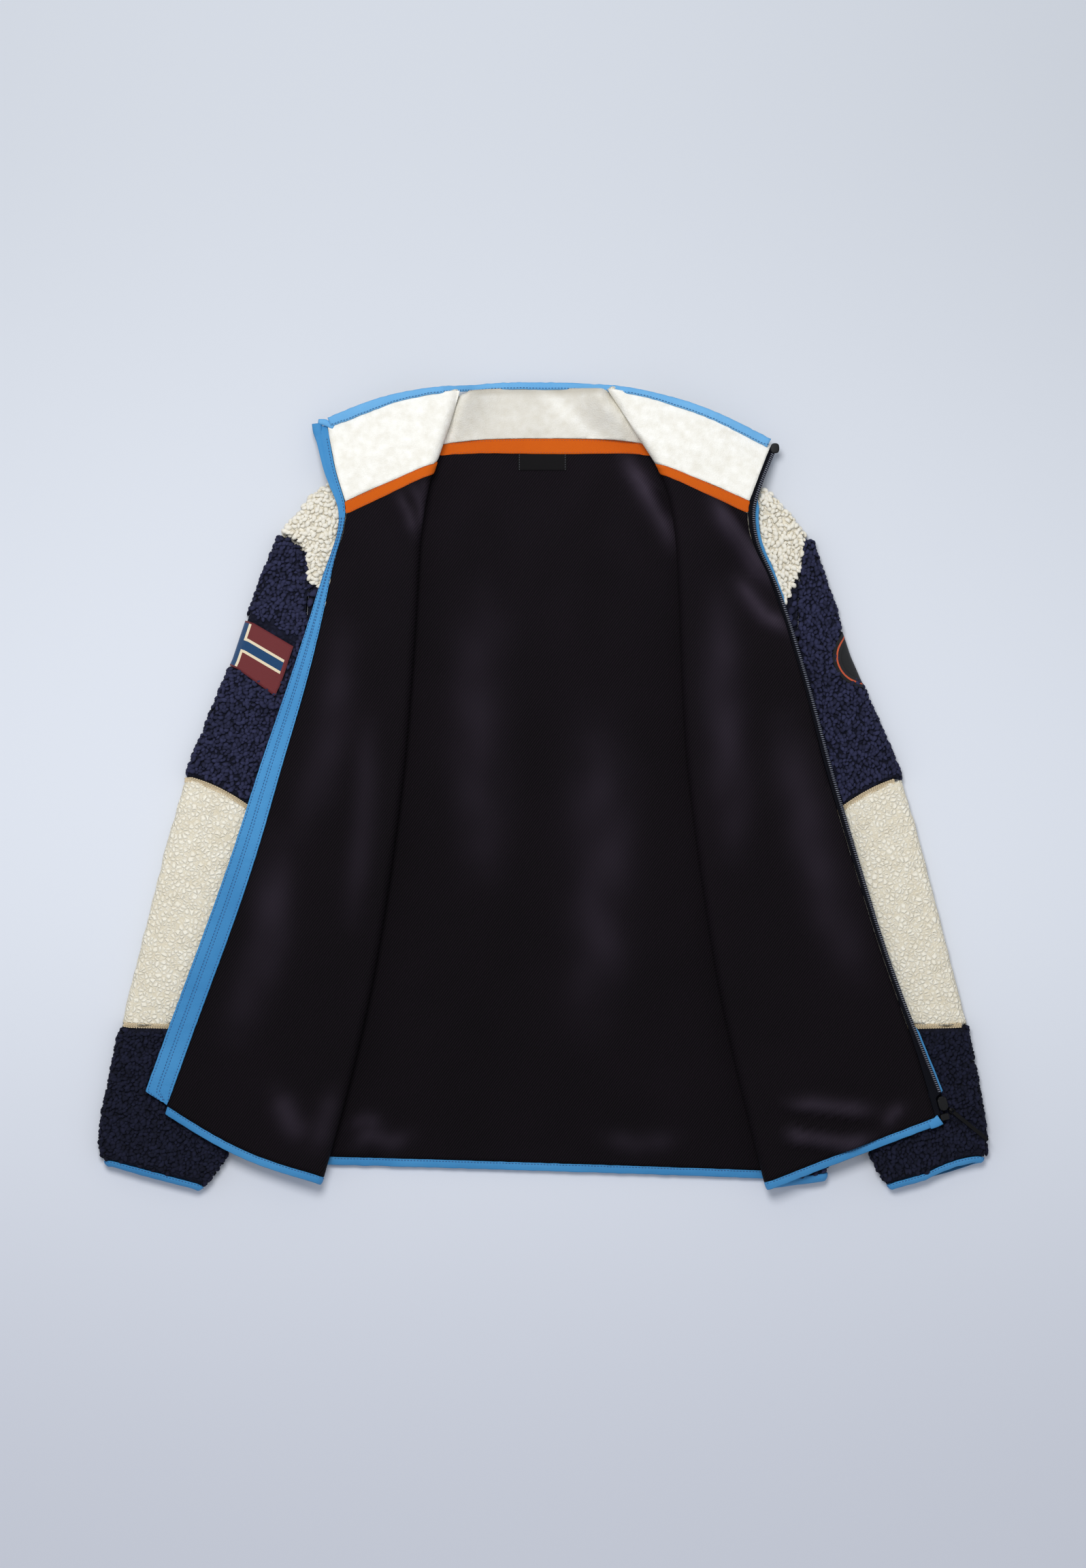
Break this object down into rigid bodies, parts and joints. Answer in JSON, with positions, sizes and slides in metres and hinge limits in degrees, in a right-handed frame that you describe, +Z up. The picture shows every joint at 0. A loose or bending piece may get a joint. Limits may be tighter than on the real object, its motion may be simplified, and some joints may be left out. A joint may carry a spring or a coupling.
{
  "type": "fleece jacket",
  "caption": "Zip-up sherpa fleece jacket lying flat on its back, opened: stand collar, both fronts folded back over the sleeves to show a dark lining, bound edges, sleeve patches.",
  "frame": {"origin": "middle of the underside of the bounding box, on the surface the jacket lies on", "axes": "+X across the jacket from the cuff on the left to the cuff on the right, +Y from the hem to the collar, +Z up"},
  "size_m": [0.8766, 0.7944, 0.0308],
  "materials": {
    "cream_sherpa": "curly cream sherpa pile, matt",
    "navy_sherpa": "curly navy sherpa pile, matt",
    "black_lining": "brushed black tricot, soft sheen",
    "white_pile": "short white plush pile",
    "orange_tape": "woven herringbone tape",
    "blue_binding": "light blue stretch binding, slight sheen",
    "black_tape": "woven black zip tape",
    "flag_cloth": "embroidered satin thread",
    "patch_cloth": "charcoal twill with a stitched rim",
    "dark_plastic": "near-black coated, satin"
  },
  "bodies": {
    "jacket": {"left_front_lower": "navy_sherpa", "left_front_yoke": "cream_sherpa", "left_front_lining": "black_lining", "back_lower": "navy_sherpa", "back_yoke": "cream_sherpa", "back_lining": "black_lining", "right_front_lower": "navy_sherpa", "right_front_yoke": "cream_sherpa", "right_front_lining": "black_lining", "collar_outer": "cream_sherpa", "collar_inner": "white_pile", "neck_tape": "orange_tape", "hem_binding_left_front": "blue_binding", "hem_binding_back": "blue_binding", "hem_binding_right_front": "blue_binding", "collar_binding": "blue_binding", "zip_guard": "blue_binding", "zip_tape_left": "black_tape", "zip_tape_right": "black_tape", "zip_teeth": "dark_plastic", "zip_edging_right": "blue_binding", "left_sleeve_upper": "navy_sherpa", "left_sleeve_middle": "cream_sherpa", "left_sleeve_lower": "navy_sherpa", "left_cuff_binding": "blue_binding", "right_sleeve_upper": "navy_sherpa", "right_sleeve_middle": "cream_sherpa", "right_sleeve_lower": "navy_sherpa", "right_cuff_binding": "blue_binding", "flag_patch": "flag_cloth", "round_patch": "patch_cloth", "neck_label": "black_tape", "zip_slider": "dark_plastic", "zip_box": "dark_plastic", "pull_bail": "dark_plastic", "zip_top_stop": "dark_plastic"},
    "pull": {"zip_pull": "dark_plastic"}
  },
  "joints": [
    {"name": "pull_swing", "type": "hinge", "parent": "jacket", "child": "pull", "pos_m": [0.39815, -0.31642, 0.018], "axis": [-0.6293, -0.7771, 0], "range_deg": [0, 75]}
  ]
}
